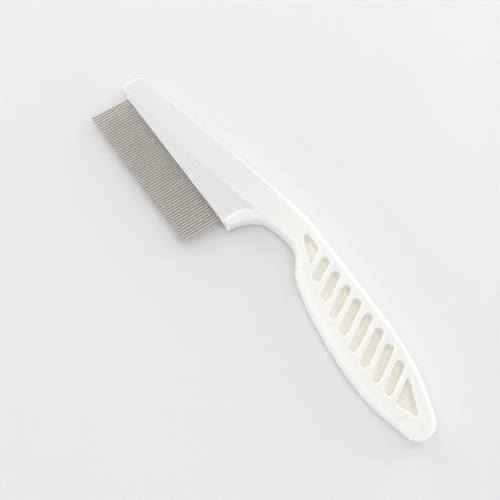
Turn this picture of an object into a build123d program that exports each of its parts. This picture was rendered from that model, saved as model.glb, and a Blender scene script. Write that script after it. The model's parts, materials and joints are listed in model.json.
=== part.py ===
"""Flea comb: a moulded handle, a needle carrier pressed into its head, and a row of steel needles.

Millimetres. The parts are drawn in the needle row's own frame: X runs along the row from the first
needle towards the handle's end, Y = 0 is the carrier's front face with the needles pointing to -Y, and
Z = 0 is the middle of the comb's thickness. Every part is then moved so that the origin is the centre
of the underside of the whole comb.
"""

from build123d import *
from math import cos, radians, sin, sqrt
import os

# Needle row
needle_count = 58
needle_pitch = 1.0
needle_diameter = 0.66
needle_reach = 15.2  # free length in front of the carrier
needle_hold = 4.0  # length held inside the carrier

# Needle carrier: a straight bar in a groove along the head's front edge
carrier_thickness = 2.0
carrier_depth = 5.0
carrier_proud = 0.6  # how far it stands out of the head
carrier_lead = 1.2  # bar before the first needle
carrier_tail = 2.4  # bar after the last needle, with its end in the heel
carrier_edge = 0.2

# Head: a spine that slants away from the row, with a thin web between them
tip_overhang = 6.0  # from the first needle to the head's tip
tip_corner = 2.2
head_thickness = 3.2
head_round = 1.0
spine_width = 12.0
spine_drop = 15.4  # how much lower the back is at the tip than at the neck
spine_curve = 1.22  # 1 would be a straight back
spine_crest = 24.7  # height of the back above the row, at the neck
taper_start = 18.0  # from the first needle to where the head starts to thicken
spine_steps = 16
tip_steps = 6
round_limit = 0.48  # the most that a rounding takes of its section's thickness
web_thickness = 3.0
web_overlap = 2.5  # how far the web runs into the spine

# Heel: the bead that closes the web beside the last needle and sweeps into the neck
heel_gap = 1.9  # from the last needle to the bead
heel_width = 2.9
heel_thickness = 6.2
heel_round = 1.3
heel_tip_round = 1.4  # seen from above
heel_knee_y = 6.3  # height above the row where the bead starts to turn
heel_sweep = 1.2  # how far its outer side has leant towards the grip there
heel_rise = 4.7  # how far above the knee its inner side has turned halfway
heel_bend = 2.6  # how far its inner side has leant towards the grip there
heel_foot = 3.5  # how far from the neck the sweep ends
heel_run = (1, 0.3)  # which way the bead runs as it goes into the neck

# Grip
neck_distance = 15.0  # from the heel to the narrowest place
neck_width = 10.2
grip_length = 92.2  # from the heel to the handle's end
grip_thickness = 8.2
grip_round = 2.6
belly_width = 21.4
end_radius = 5.3
end_height_share = 0.665  # the end's middle, as a share of the belly's width below the back
end_start = 63.0  # degrees, where the back meets the end's arc
end_stop = -75.0  # degrees, where the arc meets the palm side
# Places on the two long edges: share of the grip's length, share of the belly's width below the back
back_shares = ((0.447, 0.028), (0.685, 0.079), (0.848, 0.229))
palm_shares = ((0.827, 1.037), (0.691, 1.072), (0.545, 1.014), (0.393, 0.888), (0.262, 0.664))

# Pockets in both faces of the grip, with a thin wall left between them
pocket_count = 8
pocket_width = 3.0
pocket_bar = 2.15  # bar left between two pockets
pocket_lean = 64.5  # degrees from the row's direction
pocket_border = 4.4
pocket_wall = 1.2
pocket_draft = 2.0  # degrees
pocket_rim = 0.5
pocket_corner = 0.45
first_pocket = 31.6  # from the heel to the middle of the first pocket
pocket_height_share = 0.561  # where that middle lies, as a share of the belly's width below the back
neck_pocket_round = 1.15
neck_pocket_reach = 1.7  # how far its point, before rounding, lies ahead of the neck
end_pocket_margin = 6.4  # from the handle's end to the last pocket's point

near = 0.01  # closer than this counts as touching

# Worked out from the sizes above
row_length = (needle_count - 1) * needle_pitch
tip_x = -tip_overhang
heel_start = row_length + heel_gap
heel_end = heel_start + heel_width
neck_x = heel_end + neck_distance
end_x = heel_end + grip_length
front_y = carrier_proud
pocket_middle_y = spine_crest - pocket_height_share * belly_width


def smooth(start, stop, x):
    """0 before start, 1 after stop, and an even blend between them."""
    share = min(max((x - start) / (stop - start), 0), 1)
    return share * share * (3 - 2 * share)


def back_y(x):
    """Height of the head's back edge above the needle row."""
    share = (neck_x - x) / (neck_x - tip_x)
    return spine_crest - spine_drop * share**spine_curve


def spine_edge_y(x):
    """Height of the spine's edge on the needles' side."""
    width = spine_width + (neck_width - spine_width) * smooth(heel_end, neck_x, x)
    return max(back_y(x) - width, front_y)


def corner_inset(distance, radius):
    """How far a quarter round lies inside its corner's straight side, at a distance from the end."""
    ahead = max(radius - distance, 0)
    return radius - sqrt(radius * radius - ahead * ahead)


def head_section(x):
    """The rounded cross-section of the spine at x, smaller over the tip's corners."""
    from_tip = x - tip_x
    low = spine_edge_y(x) + corner_inset(from_tip, tip_corner)
    high = back_y(x) - corner_inset(from_tip, tip_corner)
    swell = smooth(taper_start, neck_x, x)
    thickness = head_thickness + (grip_thickness - head_thickness) * swell
    thickness -= 2 * corner_inset(from_tip, head_round)
    corner = min(head_round + (grip_round - head_round) * swell, round_limit * thickness)
    plane = Plane(origin=(x, (low + high) / 2, 0), x_dir=(0, 1, 0), z_dir=(1, 0, 0))
    return plane * RectangleRounded(high - low, thickness, corner)


def make_spine():
    """The spine from the tip's rounded end to the neck, thickening on the way."""
    turns = [radians(90 * step / tip_steps) for step in range(tip_steps + 1)]
    end = loft([head_section(tip_x + tip_corner * (1 - cos(turn))) for turn in turns])
    start = tip_x + tip_corner
    span = neck_x - start
    rest = loft([head_section(start + span * step / spine_steps) for step in range(spine_steps + 1)])
    return end + rest


def grip_point(length_share, width_share):
    """A point of the grip, by its shares of the grip's length and of the belly's width below the back."""
    return (heel_end + length_share * grip_length, spine_crest - width_share * belly_width)


def leaving(angle):
    """Which way an edge runs as it leaves a round end clockwise, at an angle from its middle."""
    return (sin(radians(angle)), -cos(radians(angle)))


def grip_outline():
    """The grip seen from above: the back, the round end, the palm side and the narrow neck."""
    neck_top = (neck_x, spine_crest)
    neck_bottom = (neck_x, spine_crest - neck_width)
    far_x, end_y = grip_point(1, end_height_share)
    end = CenterArc((far_x - end_radius, end_y), end_radius, end_start, end_stop - end_start)
    back_points = [grip_point(*shares) for shares in back_shares]
    back = Spline(neck_top, *back_points, end @ 0, tangents=[(1, 0), leaving(end_start)])
    palm_points = [grip_point(*shares) for shares in palm_shares]
    palm = Spline(end @ 1, *palm_points, neck_bottom, tangents=[leaving(end_stop), (-1, 0)])
    return make_face(back + end + palm + Line(neck_bottom, neck_top))


def make_grip():
    """The grip as a plate with rounded edges, open only where the neck joins it."""
    plate = extrude(grip_outline(), amount=grip_thickness / 2, both=True)
    rims = plate.faces().filter_by(Axis.Z).edges()
    rims = [edge for edge in rims if edge.center().X > neck_x + near]
    return fillet(rims, grip_round)


def make_web():
    """The thin web between the spine and the needle row."""
    corners = [
        (0, front_y),
        (heel_start + heel_width / 2, front_y),
        (heel_start + heel_width / 2, spine_edge_y(heel_start) + web_overlap),
        (taper_start, spine_edge_y(taper_start) + web_overlap),
        (0, front_y + web_overlap),
    ]
    return extrude(make_face(Polyline(*corners, close=True)), amount=web_thickness / 2, both=True)


def make_heel():
    """The bead beside the last needle, swept round into the neck."""
    foot = (neck_x - heel_foot, spine_edge_y(neck_x - heel_foot) + heel_round)
    root = (foot[0], foot[1] + heel_width)
    front = [(heel_start, 0), (heel_end, 0)]
    outer = Spline(front[1], (heel_end + heel_sweep, heel_knee_y), foot, tangents=[(0, 1), heel_run])
    turn = (heel_start + heel_bend, heel_knee_y + heel_rise)
    inner = Spline(front[0], (heel_start, heel_knee_y), turn, root, tangents=[(0, 1), heel_run])
    outline = make_face(Line(*front) + outer + Line(foot, root) + inner)
    outline = fillet([outline.vertices().sort_by_distance(corner)[0] for corner in front], heel_tip_round)
    plate = extrude(outline, amount=heel_thickness / 2, both=True)
    rims = plate.faces().filter_by(Axis.Z).edges()
    rims = [edge for edge in rims if edge.center().X < foot[0] - heel_round]
    return fillet(rims, heel_round)


def pocket_chord(field, middle_x):
    """Where a leaning line through middle_x crosses the pockets' field, lower end first."""
    lean = radians(pocket_lean)
    across, along = belly_width * sin(lean), belly_width * cos(lean)
    start = (middle_x + along, pocket_middle_y - across)
    stop = (middle_x - along, pocket_middle_y + across)
    chord = field.intersect(Edge.make_line(start, stop))[0]
    ends = sorted([chord @ 0, chord @ 1], key=lambda point: point.Y)
    return ends[0], ends[1]


def pocket_faces():
    """The pockets seen from above: a row of leaning slots with a triangle at each end of it."""
    lean_step = 1 / sin(radians(pocket_lean))
    first_x = heel_end + first_pocket
    pitch = (pocket_width + pocket_bar) * lean_step
    field = offset(grip_outline(), -pocket_border)
    faces = []
    for index in range(pocket_count):
        low, high = pocket_chord(field, first_x + index * pitch)
        middle = (low + high) / 2
        slot = SlotOverall((high - low).length, pocket_width)
        faces.append((Pos(middle.X, middle.Y) * Rot(0, 0, -pocket_lean) * slot).face())

    edge_offset = (pocket_width / 2 + pocket_bar) * lean_step
    low, high = pocket_chord(field, first_x - edge_offset)
    point = (neck_x - neck_pocket_reach, spine_crest - pocket_border)
    faces.append(rounded_triangle(point, low, high, neck_pocket_round))

    low, high = pocket_chord(field, first_x + (pocket_count - 1) * pitch + edge_offset)
    point = (end_x - end_pocket_margin, spine_crest - end_height_share * belly_width)
    faces.append(rounded_triangle(point, low, high, pocket_corner))
    return faces


def rounded_triangle(point, low, high, point_round):
    """A triangle with its point rounded by its own radius, and the other two corners nearly sharp."""
    triangle = make_face(Polyline(point, low, high, close=True))
    for corner, radius in ((point, point_round), (low, pocket_corner), (high, pocket_corner)):
        nearest = triangle.vertices().sort_by_distance(corner)[0]
        triangle = fillet([nearest], radius)
    return triangle.face()


def cut_pockets(handle):
    """Sinks the pockets into both faces of the grip and rounds their rims."""
    depth = (grip_thickness - pocket_wall) / 2
    for face in pocket_faces():
        upper = extrude(Pos(0, 0, grip_thickness / 2) * face, amount=-depth, taper=pocket_draft)
        handle -= upper
        handle -= mirror(upper, about=Plane.XY)
    flats = handle.faces().filter_by(Axis.Z)
    skins = [face for face in flats if abs(face.center().Z) > grip_thickness / 2 - near]
    rims = [edge for face in skins for wire in face.inner_wires() for edge in wire.edges()]
    return fillet(rims, pocket_rim)


def carrier_box():
    """The carrier's plain bar along the needle row, from its front face backwards."""
    length = carrier_lead + row_length + carrier_tail
    middle = Pos(length / 2 - carrier_lead, carrier_depth / 2, 0)
    return middle * Box(length, carrier_depth, carrier_thickness)


def make_handle():
    """The whole moulding, with the groove for the carrier."""
    handle = make_spine() + make_grip() + make_web() + make_heel()
    return cut_pockets(handle) - carrier_box()


def needle_xs():
    """Where the needles stand along the row."""
    return [index * needle_pitch for index in range(needle_count)]


def make_needle(x):
    """One round needle, with a domed tip, held in the carrier."""
    radius = needle_diameter / 2
    length = needle_reach - radius + needle_hold
    axis = Plane(origin=(x, needle_hold, 0), z_dir=(0, -1, 0))
    shank = Pos(0, 0, length / 2) * Cylinder(radius, length)
    dome = Pos(0, 0, length) * Sphere(radius)
    return axis * (shank + dome)


def make_carrier():
    """The bar that holds the needles, with a hole for each."""
    carrier = carrier_box()
    front = carrier.faces().sort_by(Axis.Y)[0].edges()
    carrier = chamfer(front, carrier_edge)
    front_face = Plane(origin=(0, 0, 0), z_dir=(0, 1, 0))
    hole = front_face * Pos(0, 0, needle_hold / 2) * Cylinder(needle_diameter / 2, needle_hold)
    for x in needle_xs():
        carrier -= Pos(x, 0, 0) * hole
    return carrier


if __name__ == "__main__":
    os.makedirs("parts", exist_ok=True)
    parts = {"handle": make_handle(), "needle_carrier": make_carrier()}
    for number, x in enumerate(needle_xs(), start=1):
        parts[f"needle_{number:02d}"] = make_needle(x)
    home = Pos(-(tip_x + end_x) / 2, -(spine_crest - needle_reach) / 2, grip_thickness / 2)
    for name, shape in parts.items():
        export_step(home * shape, f"parts/{name}.step")
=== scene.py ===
"""Flea comb, finished for a studio table: a white moulded handle, a pale needle carrier and steel needles.

Metres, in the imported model's own frame: the comb lies flat, its upper face towards +Z, the handle along +X
and the needles pointing to -Y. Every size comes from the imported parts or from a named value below.
"""

import json
import logging
import math
from dataclasses import dataclass
from enum import Enum
from typing import Iterable

import bmesh
import bpy
from mathutils import Matrix, Vector

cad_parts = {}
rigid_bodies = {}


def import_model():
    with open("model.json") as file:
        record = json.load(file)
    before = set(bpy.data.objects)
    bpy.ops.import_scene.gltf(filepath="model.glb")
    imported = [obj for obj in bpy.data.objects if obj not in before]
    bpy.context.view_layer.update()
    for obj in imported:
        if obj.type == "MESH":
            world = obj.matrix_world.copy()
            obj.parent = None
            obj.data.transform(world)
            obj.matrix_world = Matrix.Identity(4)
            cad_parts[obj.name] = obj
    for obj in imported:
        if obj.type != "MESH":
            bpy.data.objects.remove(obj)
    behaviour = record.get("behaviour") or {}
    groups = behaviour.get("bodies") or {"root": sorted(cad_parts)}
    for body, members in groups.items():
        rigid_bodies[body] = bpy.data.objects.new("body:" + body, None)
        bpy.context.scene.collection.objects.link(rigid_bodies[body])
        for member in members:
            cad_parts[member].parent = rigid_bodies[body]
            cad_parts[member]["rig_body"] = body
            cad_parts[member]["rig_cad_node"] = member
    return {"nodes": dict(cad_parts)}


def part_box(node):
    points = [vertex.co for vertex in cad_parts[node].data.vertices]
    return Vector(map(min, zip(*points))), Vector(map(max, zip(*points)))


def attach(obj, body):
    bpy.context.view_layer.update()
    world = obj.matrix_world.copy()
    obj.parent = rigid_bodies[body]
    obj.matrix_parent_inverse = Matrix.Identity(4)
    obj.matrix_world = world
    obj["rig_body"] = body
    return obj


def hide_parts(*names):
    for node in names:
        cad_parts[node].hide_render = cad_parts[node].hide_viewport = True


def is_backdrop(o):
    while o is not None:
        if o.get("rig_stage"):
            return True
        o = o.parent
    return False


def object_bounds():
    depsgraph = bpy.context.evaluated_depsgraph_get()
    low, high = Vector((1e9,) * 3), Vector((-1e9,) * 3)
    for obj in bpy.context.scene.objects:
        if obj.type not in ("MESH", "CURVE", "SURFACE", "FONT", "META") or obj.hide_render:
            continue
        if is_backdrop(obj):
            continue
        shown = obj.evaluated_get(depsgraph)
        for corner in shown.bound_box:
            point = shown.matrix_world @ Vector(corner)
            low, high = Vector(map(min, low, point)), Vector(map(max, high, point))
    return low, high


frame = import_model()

MILLIMETRE = 0.001
BODY = "root"
# Where a colour mix node has its colours, because its sockets share their names with other kinds
SOCKET_FIRST = 6
SOCKET_SECOND = 7
SOCKET_COLOUR = 2
# Where the needles point, and how squarely a face must look that way to be picked
FRONT = Vector((0, -1, 0))
SQUARELY = 0.9

Colour = tuple[float, float, float]

log = logging.getLogger("flea_comb")


class Slot(Enum):
    """The record's material slots."""

    HANDLE = "white_plastic"
    CARRIER = "carrier_plastic"
    NEEDLE = "needle_steel"


# --------------------------------------------------------------------------------------------------
# Finishes
# --------------------------------------------------------------------------------------------------


class ShaderSheet:
    """A material's node sheet, with short calls for the nodes that the finishes share."""

    def __init__(self, name: str) -> None:
        """Start a material with a lone surface shader.

        Args:
            name: the material's name.
        """
        self.material = bpy.data.materials.new(name)
        self.material.use_nodes = True
        self.tree = self.material.node_tree
        self.tree.nodes.clear()
        self.surface = self.node("ShaderNodeBsdfPrincipled")
        output = self.node("ShaderNodeOutputMaterial")
        self.join(self.surface, "BSDF", output, "Surface")
        self.place = self.node("ShaderNodeTexCoord")

    def node(self, kind: str, **settings: object) -> bpy.types.Node:
        """Add a node.

        Args:
            kind: the node's type name.
            **settings: its properties.

        Returns:
            The new node.
        """
        made = self.tree.nodes.new(kind)
        for name, value in settings.items():
            setattr(made, name, value)
        return made

    def join(self, source: bpy.types.Node, out: str, target: bpy.types.Node, into: str | int) -> None:
        """Link one node's output to another's input."""
        self.tree.links.new(source.outputs[out], target.inputs[into])

    def noise(self, per_metre: float, detail: float, stretch: Vector | None = None) -> bpy.types.Node:
        """Add a noise pattern fixed to the piece.

        Args:
            per_metre: how many blotches fit in a metre.
            detail: how fine the pattern goes.
            stretch: how much the pattern is squeezed along each axis, or None for an even one.

        Returns:
            The noise node.
        """
        pattern = self.node("ShaderNodeTexNoise")
        pattern.inputs["Scale"].default_value = per_metre
        pattern.inputs["Detail"].default_value = detail
        if stretch is None:
            self.join(self.place, "Object", pattern, "Vector")
            return pattern
        mapping = self.node("ShaderNodeMapping")
        mapping.inputs["Scale"].default_value = stretch
        self.join(self.place, "Object", mapping, "Vector")
        self.join(mapping, "Vector", pattern, "Vector")
        return pattern

    def spread(
        self, source: bpy.types.Node, out: str, low: float, high: float, start: float = 0, stop: float = 1
    ) -> bpy.types.Node:
        """Stretch a value to a new range.

        Args:
            source: the node that gives the value.
            out: its output.
            low: what start becomes.
            high: what stop becomes.
            start: the value that gives low.
            stop: the value that gives high.

        Returns:
            The range node, whose output is Result.
        """
        ranged = self.node("ShaderNodeMapRange", interpolation_type="SMOOTHSTEP")
        ranged.inputs["From Min"].default_value = start
        ranged.inputs["From Max"].default_value = stop
        ranged.inputs["To Min"].default_value = low
        ranged.inputs["To Max"].default_value = high
        self.join(source, out, ranged, "Value")
        return ranged

    def tint(self, factor: bpy.types.Node, out: str, first: Colour, second: Colour) -> bpy.types.Node:
        """Mix two colours by a value.

        Args:
            factor: the node that gives the value.
            out: its output.
            first: the colour at 0.
            second: the colour at 1.

        Returns:
            The mix node, whose colour comes out at SOCKET_COLOUR.
        """
        mix = self.node("ShaderNodeMix", data_type="RGBA")
        mix.inputs[SOCKET_FIRST].default_value = (*first, 1)
        mix.inputs[SOCKET_SECOND].default_value = (*second, 1)
        self.join(factor, out, mix, "Factor")
        return mix

    def bump(self, pattern: bpy.types.Node, height: float, strength: float) -> None:
        """Raise the surface by a pattern.

        Args:
            pattern: the noise node.
            height: how high it goes, in metres.
            strength: how much of it shows.
        """
        relief = self.node("ShaderNodeBump")
        relief.inputs["Strength"].default_value = strength
        relief.inputs["Distance"].default_value = height
        self.join(pattern, "Fac", relief, "Height")
        self.join(relief, "Normal", self.surface, "Normal")


@dataclass(frozen=True)
class MouldedPlastic:
    """Milky injection-moulded plastic: a soft gloss, faint clouds, a fine skin, painted shade along the thin
    head, and hollows painted with their recess colour, which is warm bounce light on the handle and shade on
    the carrier.
    """

    name: str
    thin_shaded_colour: Colour
    thick_lit_colour: Colour
    painted_recess_colour: Colour
    thin_until: float = -32 * MILLIMETRE
    thick_from: float = 8 * MILLIMETRE
    cloudiness: float = 0.02
    clouds_per_metre: float = 45
    cloud_detail: float = 3
    painted_recess_reach: float = 5 * MILLIMETRE
    painted_recess_samples: int = 8
    painted_recess_full_below: float = 0.3
    painted_recess_gone_above: float = 0.7
    scatter: float = 0.7
    scatter_reach: float = 1.1 * MILLIMETRE
    scatter_colour: Colour = (1.0, 1.0, 0.95)
    refraction: float = 1.49
    gloss_low: float = 0.44
    gloss_high: float = 0.54
    skin_per_metre: float = 2600
    skin_detail: float = 2
    skin_height: float = 0.02 * MILLIMETRE
    skin_strength: float = 0.12

    def painted_light_colour(self, sheet: ShaderSheet) -> bpy.types.Node:
        """Paint shade from the thin head to the thick grip, where light passes through the thin plastic, and
        paint the hollows with the recess colour.

        Args:
            sheet: the material's sheet.

        Returns:
            The last colour node.
        """
        place = sheet.node("ShaderNodeSeparateXYZ")
        sheet.join(sheet.place, "Object", place, "Vector")
        # Painted shade: the thin head is darker than the thick grip, standing in for the light that passes
        # through thin plastic.
        head_to_grip = sheet.spread(place, "X", 0, 1, self.thin_until, self.thick_from)
        painted_thickness_shade = sheet.tint(head_to_grip, "Result", self.thin_shaded_colour, self.thick_lit_colour)
        # Painted light in the hollows: where occlusion is high the recess colour takes over, warm bounce
        # light on the handle and shade on the carrier.
        recess_occlusion = sheet.node("ShaderNodeAmbientOcclusion", only_local=True, samples=self.painted_recess_samples)
        recess_occlusion.inputs["Distance"].default_value = self.painted_recess_reach
        painted_recess_mask = sheet.spread(recess_occlusion, "AO", 1, 0, self.painted_recess_full_below, self.painted_recess_gone_above)
        body = sheet.tint(painted_recess_mask, "Result", self.thin_shaded_colour, self.painted_recess_colour)
        sheet.tree.links.new(painted_thickness_shade.outputs[SOCKET_COLOUR], body.inputs[SOCKET_FIRST])
        return body

    def material(self) -> bpy.types.Material:
        """Make the material.

        Returns:
            The finished material.
        """
        sheet = ShaderSheet(self.name)
        clouds = sheet.noise(self.clouds_per_metre, self.cloud_detail)
        body = self.painted_light_colour(sheet)
        shade = sheet.node("ShaderNodeHueSaturation")
        brightness = sheet.spread(clouds, "Fac", 1 - self.cloudiness, 1 + self.cloudiness)
        sheet.join(brightness, "Result", shade, "Value")
        sheet.tree.links.new(body.outputs[SOCKET_COLOUR], shade.inputs["Color"])
        sheet.join(shade, "Color", sheet.surface, "Base Color")
        roughness = sheet.spread(clouds, "Fac", self.gloss_low, self.gloss_high)
        sheet.join(roughness, "Result", sheet.surface, "Roughness")
        skin = sheet.noise(self.skin_per_metre, self.skin_detail)
        sheet.bump(skin, self.skin_height, self.skin_strength)
        sheet.surface.inputs["IOR"].default_value = self.refraction
        sheet.surface.inputs["Subsurface Weight"].default_value = self.scatter
        sheet.surface.inputs["Subsurface Radius"].default_value = self.scatter_colour
        sheet.surface.inputs["Subsurface Scale"].default_value = self.scatter_reach
        return sheet.material


@dataclass(frozen=True)
class DrawnSteel:
    """Bright drawn wire: long fine lines along each needle."""

    name: str
    colour: Colour
    line: Colour
    gloss_low: float = 0.08
    gloss_high: float = 0.16
    lines_per_metre: float = 9000
    line_detail: float = 2
    line_squeeze: tuple[float, float, float] = (1, 0.02, 1)
    line_height: float = 0.01 * MILLIMETRE
    line_strength: float = 0.1

    def material(self) -> bpy.types.Material:
        """Make the material.

        Returns:
            The finished material.
        """
        sheet = ShaderSheet(self.name)
        lines = sheet.noise(self.lines_per_metre, self.line_detail, Vector(self.line_squeeze))
        colour = sheet.tint(lines, "Fac", self.colour, self.line)
        sheet.tree.links.new(colour.outputs[SOCKET_COLOUR], sheet.surface.inputs["Base Color"])
        roughness = sheet.spread(lines, "Fac", self.gloss_low, self.gloss_high)
        sheet.join(roughness, "Result", sheet.surface, "Roughness")
        sheet.bump(lines, self.line_height, self.line_strength)
        sheet.surface.inputs["Metallic"].default_value = 1
        return sheet.material


# Painted shade makes the thin head darker than the grip; the recess colour is painted warm bounce light in
# the pockets.
WHITE_PLASTIC = MouldedPlastic(
    name="white_moulding",
    thin_shaded_colour=(0.742, 0.741, 0.733),
    thick_lit_colour=(0.805, 0.801, 0.778),
    painted_recess_colour=(0.985, 0.945, 0.865),
)
# The bar has one colour along its length; its recess colour is painted shade in its hollows.
CARRIER_PLASTIC = MouldedPlastic(
    name="carrier_moulding",
    thin_shaded_colour=(0.80, 0.815, 0.84),
    thick_lit_colour=(0.80, 0.815, 0.84),
    painted_recess_colour=(0.66, 0.66, 0.67),
    gloss_low=0.5,
    gloss_high=0.6,
)
NEEDLE_STEEL = DrawnSteel(name="drawn_steel", colour=(0.45, 0.425, 0.39), line=(0.31, 0.288, 0.255))


# --------------------------------------------------------------------------------------------------
# Working by hand
# --------------------------------------------------------------------------------------------------


class Bench:
    """The moves that every piece is made with: pick it up, edit it, set it down in the comb."""

    @staticmethod
    def clear() -> None:
        """Leave edit mode with nothing selected."""
        if bpy.context.object is not None and bpy.context.object.mode != "OBJECT":
            bpy.ops.object.mode_set(mode="OBJECT")
        bpy.ops.object.select_all(action="DESELECT")

    @staticmethod
    def hold(piece: bpy.types.Object) -> None:
        """Select one piece alone and make it the active one.

        Args:
            piece: the piece.
        """
        Bench.clear()
        piece.select_set(True)
        bpy.context.view_layer.objects.active = piece

    @staticmethod
    def pick_faces(piece: bpy.types.Object, way: Vector) -> None:
        """Select the faces that look one way, on the piece that is in edit mode.

        Args:
            piece: the piece.
            way: the way they look.
        """
        mesh = bmesh.from_edit_mesh(piece.data)
        bpy.ops.mesh.select_all(action="DESELECT")
        for face in mesh.faces:
            face.select_set(face.normal.dot(way) > SQUARELY)
        bmesh.update_edit_mesh(piece.data)

    @staticmethod
    def copy_node(node: str, name: str, weld: float) -> bpy.types.Object:
        """Make a copy of a CAD node with its loose triangles merged.

        Args:
            node: the CAD node.
            name: the copy's name.
            weld: how near two corners are merged.

        Returns:
            The copy.
        """
        piece = frame["nodes"][node].copy()
        piece.data = piece.data.copy()
        piece.parent = None
        piece.name = name
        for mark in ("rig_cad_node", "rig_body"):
            del piece[mark]
        bpy.context.scene.collection.objects.link(piece)
        Bench.hold(piece)
        bpy.ops.object.mode_set(mode="EDIT")
        bpy.ops.mesh.select_all(action="SELECT")
        bpy.ops.mesh.remove_doubles(threshold=weld)
        bpy.ops.object.mode_set(mode="OBJECT")
        return piece

    @staticmethod
    def apply_modifier(piece: bpy.types.Object, kind: str, **settings: object) -> None:
        """Add a modifier to a piece and apply it.

        Args:
            piece: the piece.
            kind: the modifier's type name.
            **settings: its properties.
        """
        Bench.hold(piece)
        step = piece.modifiers.new(kind.lower(), kind)
        for name, value in settings.items():
            setattr(step, name, value)
        bpy.ops.object.modifier_apply(modifier=step.name)

    @staticmethod
    def settle(piece: bpy.types.Object) -> None:
        """Move the piece's place into its mesh, so that the object sits at the origin."""
        Bench.hold(piece)
        bpy.ops.object.transform_apply(location=True, rotation=True, scale=True)

    @staticmethod
    def join_to_comb(piece: bpy.types.Object, node: str, slot: Slot, finish: bpy.types.Material) -> None:
        """Dress a piece and let it stand for its CAD node.

        Args:
            piece: the finished piece.
            node: the CAD node that it stands for.
            slot: the record's slot for its finish; not used.
            finish: its material.
        """
        piece.data.materials.clear()
        piece.data.materials.append(finish)
        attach(piece, BODY)
        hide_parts(node)


# --------------------------------------------------------------------------------------------------
# Pieces
# --------------------------------------------------------------------------------------------------


@dataclass
class NeedleRow:
    """The row of round steel needles, all alike, each with a domed tip."""

    finish: bpy.types.Material
    sides: int = 20
    dome_rings: int = 4
    soft_below: float = 40

    def nodes(self) -> list[str]:
        """Return the needles' node names in their order along the row."""
        return sorted(name for name in frame["nodes"] if name.startswith("needle_") and name[-1].isdigit())

    def model_first(self) -> bpy.types.Object:
        """Model the first needle in its place.

        Returns:
            The needle, lying along Y with its tip at the front.
        """
        low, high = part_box(self.nodes()[0])
        radius = (high.x - low.x) / 2
        middle = (low + high) / 2
        shoulder = low.y + radius
        Bench.clear()
        bpy.ops.mesh.primitive_cylinder_add(
            vertices=self.sides,
            radius=radius,
            depth=high.y - shoulder,
            location=(middle.x, (high.y + shoulder) / 2, middle.z),
            rotation=(math.pi / 2, 0, 0),
        )
        needle = bpy.context.object
        Bench.settle(needle)
        bpy.ops.object.mode_set(mode="EDIT")
        Bench.pick_faces(needle, FRONT)
        turn = math.pi / 2 / self.dome_rings
        for ring in range(self.dome_rings):
            forward = radius * (math.sin((ring + 1) * turn) - math.sin(ring * turn))
            shrink = math.cos((ring + 1) * turn) / math.cos(ring * turn)
            bpy.ops.mesh.extrude_region_move(TRANSFORM_OT_translate={"value": (0, -forward, 0)})
            if ring < self.dome_rings - 1:
                bpy.ops.transform.resize(value=(shrink, 1, shrink))
        bpy.ops.mesh.merge(type="CENTER")
        bpy.ops.object.mode_set(mode="OBJECT")
        Bench.hold(needle)
        bpy.ops.object.shade_smooth_by_angle(angle=math.radians(self.soft_below))
        return needle

    def build(self) -> list[bpy.types.Object]:
        """Model one needle, copy it along the row and dress them all.

        Returns:
            The needles.
        """
        first = self.model_first()
        first_low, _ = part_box(self.nodes()[0])
        needles = []
        for name in self.nodes():
            low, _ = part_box(name)
            needle = first.copy()
            needle.data = first.data.copy()
            bpy.context.scene.collection.objects.link(needle)
            needle.data.transform(Matrix.Translation(low - first_low))
            needle.name = f"steel_{name}"
            Bench.join_to_comb(needle, name, Slot.NEEDLE, self.finish)
            needles.append(needle)
        bpy.data.objects.remove(first)
        return needles


@dataclass
class Handle:
    """The one-piece moulding: grip, neck, spine, web and heel, with every edge and corner run soft."""

    finish: bpy.types.Material
    node: str = "handle"
    weld: float = 0.002 * MILLIMETRE
    grain: float = 0.34 * MILLIMETRE
    polish_passes: int = 4
    polish_strength: float = 0.5

    def build(self) -> list[bpy.types.Object]:
        """Cast a soft-edged copy of the moulding and dress it.

        Returns:
            The handle alone.
        """
        handle = Bench.copy_node(self.node, "handle_moulding", self.weld)
        Bench.apply_modifier(handle, "REMESH", mode="VOXEL", voxel_size=self.grain, use_smooth_shade=True)
        Bench.apply_modifier(handle, "SMOOTH", factor=self.polish_strength, iterations=self.polish_passes)
        Bench.join_to_comb(handle, self.node, Slot.HANDLE, self.finish)
        return [handle]


@dataclass
class Carrier:
    """The straight bar that holds the needles."""

    finish: bpy.types.Material
    node: str = "needle_carrier"

    def build(self) -> list[bpy.types.Object]:
        """Dress the bar.

        Returns:
            The bar alone.
        """
        carrier = frame["nodes"][self.node]
        carrier.data.materials.clear()
        carrier.data.materials.append(self.finish)
        return [carrier]


# --------------------------------------------------------------------------------------------------
# Studio
# --------------------------------------------------------------------------------------------------


@dataclass(frozen=True)
class SoftBox:
    """A square soft light that looks at the comb from a bearing and a height."""

    name: str
    bearing: float
    height: float
    distance: float
    side: float
    power: float

    def hang(self) -> None:
        """Hang the light.

        Its bearing is in degrees from +X towards +Y, and its height is in degrees above the table.
        """
        turn, rise = math.radians(self.bearing), math.radians(self.height)
        place = Vector((math.cos(rise) * math.cos(turn), math.cos(rise) * math.sin(turn), math.sin(rise)))
        light = bpy.data.lights.new(self.name, "AREA")
        light.shape = "SQUARE"
        light.size = self.side
        light.energy = self.power
        lamp = bpy.data.objects.new(self.name, light)
        facing = (-place).to_track_quat("-Z", "Y").to_matrix().to_4x4()
        lamp.matrix_world = Matrix.Translation(place * self.distance) @ facing
        lamp.visible_camera = False
        bpy.context.scene.collection.objects.link(lamp)


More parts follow.
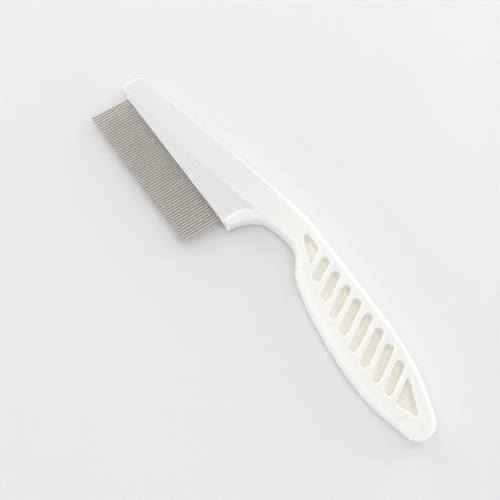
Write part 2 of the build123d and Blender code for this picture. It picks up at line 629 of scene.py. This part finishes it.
@dataclass
class Studio:
    """The table, the soft lights and the camera."""

    soft_boxes: tuple[SoftBox, ...] = (
        SoftBox("front_high", bearing=-90, height=60, distance=1.8, side=1.1, power=11.0),
        SoftBox("back_high", bearing=90, height=55, distance=0.9, side=0.55, power=1.0),
        SoftBox("back_low", bearing=90, height=30, distance=0.9, side=0.55, power=2.4),
        SoftBox("grip_high", bearing=0, height=60, distance=1.2, side=0.7, power=3.7),
        SoftBox("grip_low", bearing=0, height=15, distance=1.2, side=0.7, power=1.1),
        SoftBox("head_high", bearing=180, height=60, distance=1.2, side=0.7, power=3.1),
        SoftBox("head_low", bearing=180, height=20, distance=1.2, side=0.7, power=4.4),
    )
    table_span: float = 1.2
    table_gap: float = 0.02 * MILLIMETRE
    table_grain_per_metre: float = 9
    table_grain_detail: float = 2
    table_dark: Colour = (0.745, 0.745, 0.750)
    table_light: Colour = (0.760, 0.760, 0.765)
    table_roughness: float = 0.75
    camera_place: Vector = Vector((0.058777, -0.078037, 0.21852))
    camera_turn: tuple[float, float, float] = (23.4076, -6.4202, 53.4768)
    lens: float = 50.4
    nearest_seen: float = 10 * MILLIMETRE
    glow: float = 4.35
    glow_full_below: float = 0.12
    glow_gone_above: float = 0.26

    def build(self) -> None:
        """Set everything up."""
        self.set_colours()
        self.lay_table()
        self.hang_sky()
        for soft_box in self.soft_boxes:
            soft_box.hang()
        self.place_camera()

    def set_colours(self) -> None:
        """Show colours as they are lit, with no film curve."""
        bpy.context.scene.view_settings.view_transform = "Standard"

    def lay_table(self) -> None:
        """Lay the pale table under the comb."""
        Bench.clear()
        low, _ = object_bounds()
        bpy.ops.mesh.primitive_plane_add(size=self.table_span, location=(0, 0, low.z - self.table_gap))
        table = bpy.context.object
        table.name = "table_top"
        sheet = ShaderSheet("table_paint")
        grain = sheet.noise(self.table_grain_per_metre, self.table_grain_detail)
        colour = sheet.tint(grain, "Fac", self.table_dark, self.table_light)
        sheet.tree.links.new(colour.outputs[SOCKET_COLOUR], sheet.surface.inputs["Base Color"])
        sheet.surface.inputs["Roughness"].default_value = self.table_roughness
        table.data.materials.append(sheet.material)
        table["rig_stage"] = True

    def hang_sky(self) -> None:
        """Surround the table with a low glowing wall, and leave it dark overhead."""
        world = bpy.data.worlds.new("studio_walls")
        bpy.context.scene.world = world
        world.use_nodes = True
        tree = world.node_tree
        tree.nodes.clear()
        place = tree.nodes.new("ShaderNodeTexCoord")
        split = tree.nodes.new("ShaderNodeSeparateXYZ")
        band = tree.nodes.new("ShaderNodeMapRange")
        back = tree.nodes.new("ShaderNodeBackground")
        out = tree.nodes.new("ShaderNodeOutputWorld")
        band.interpolation_type = "SMOOTHSTEP"
        band.inputs["From Min"].default_value = self.glow_full_below
        band.inputs["From Max"].default_value = self.glow_gone_above
        band.inputs["To Min"].default_value = self.glow
        band.inputs["To Max"].default_value = 0
        tree.links.new(place.outputs["Generated"], split.inputs[0])
        tree.links.new(split.outputs["Z"], band.inputs["Value"])
        tree.links.new(band.outputs["Result"], back.inputs["Strength"])
        tree.links.new(back.outputs[0], out.inputs["Surface"])

    def place_camera(self) -> None:
        """Stand the camera above the comb's front right corner."""
        camera = bpy.data.cameras.new("studio_camera")
        camera.lens = self.lens
        camera.clip_start = self.nearest_seen
        holder = bpy.data.objects.new("studio_camera", camera)
        holder.location = self.camera_place
        holder.rotation_euler = [math.radians(turn) for turn in self.camera_turn]
        bpy.context.scene.collection.objects.link(holder)
        bpy.context.scene.camera = holder


def main() -> None:
    """Build the comb and its studio."""
    logging.basicConfig(level=logging.INFO, format="%(message)s")
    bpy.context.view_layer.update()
    groups = (
        Handle(WHITE_PLASTIC.material()),
        Carrier(CARRIER_PLASTIC.material()),
        NeedleRow(NEEDLE_STEEL.material()),
    )
    for group in groups:
        for piece in group.build():
            log.info("%s: %d faces", piece.name, len(piece.data.polygons))
    Studio().build()


if __name__ == "__main__":
    main()
